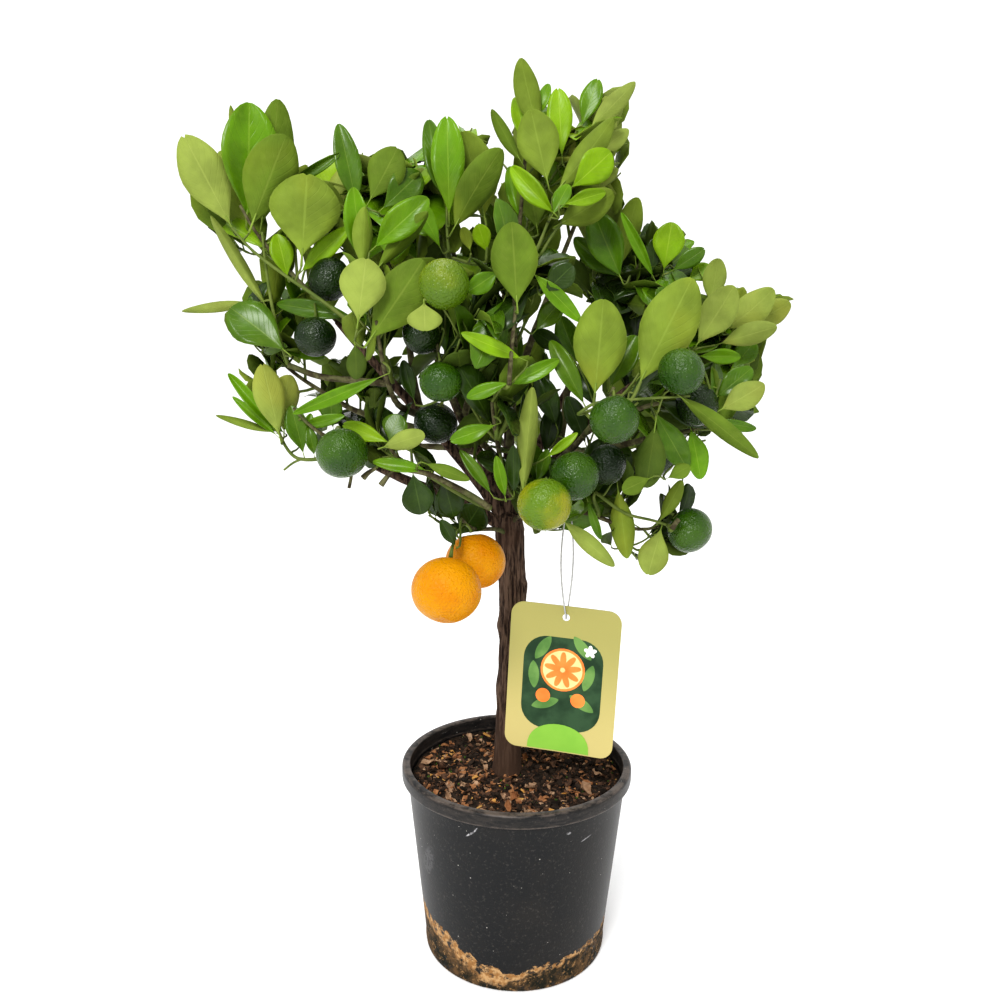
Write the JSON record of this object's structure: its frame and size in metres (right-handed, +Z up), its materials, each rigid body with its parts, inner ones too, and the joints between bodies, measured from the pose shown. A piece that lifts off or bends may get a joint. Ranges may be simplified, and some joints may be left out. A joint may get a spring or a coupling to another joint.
{
  "type": "potted calamondin orange tree",
  "caption": "Small citrus tree grown as a standard in a round nursery pot, with a bare trunk, a loose round crown of leaves, green and ripe fruit, and a hanging picture card.",
  "frame": {"origin": "middle of the flat underside of the pot", "axes": "+Z up along the trunk, -Y towards the side with the hanging picture card, +X to the right of that view"},
  "size_m": [0.478, 0.38, 0.7093],
  "materials": {
    "foliage": "satin",
    "bark": "matte",
    "pot_plastic": "satin",
    "potting_mix": "matte",
    "card_print": "satin",
    "thread": "matte"
  },
  "bodies": {
    "root": {"pot": "pot_plastic", "potting_mix": "potting_mix", "trunk": "bark", "bough_left_low": "bark", "bough_left_high": "bark", "bough_centre_top": "bark", "bough_right_far": "bark", "bough_back_left_high": "bark", "bough_back_right_high": "bark", "bough_left_arm": "bark", "bough_left_upper": "bark", "bough_left_front": "bark", "bough_low_left": "bark", "bough_right_top": "bark", "bough_left_top": "bark", "bough_centre_high": "bark", "bough_centre_front": "bark", "bough_front_left": "bark", "bough_right_high": "bark", "bough_right_front": "bark", "bough_right_low": "bark", "bough_right_mid": "bark", "bough_back_left_low": "bark", "bough_back_top": "bark", "bough_back_low": "bark", "bough_back_right_low": "bark", "bough_low_right": "bark", "foliage_left_low": "foliage", "foliage_left_high": "foliage", "foliage_centre_top": "foliage", "foliage_right_far": "foliage", "foliage_back_left_high": "foliage", "foliage_back_right_high": "foliage", "foliage_left_arm": "foliage", "foliage_left_upper": "foliage", "foliage_left_front": "foliage", "foliage_low_left": "foliage", "foliage_right_top": "foliage", "foliage_left_top": "foliage", "foliage_centre_high": "foliage", "foliage_centre_front": "foliage", "foliage_front_left": "foliage", "foliage_right_high": "foliage", "foliage_right_front": "foliage", "foliage_right_low": "foliage", "foliage_right_mid": "foliage", "foliage_back_left_low": "foliage", "foliage_back_top": "foliage", "foliage_back_low": "foliage", "foliage_back_right_low": "foliage", "foliage_low_right": "foliage", "foliage_low_front": "foliage", "foliage_low_hanging": "foliage", "label_card": "card_print", "label_thread": "thread"}
  },
  "joints": []
}
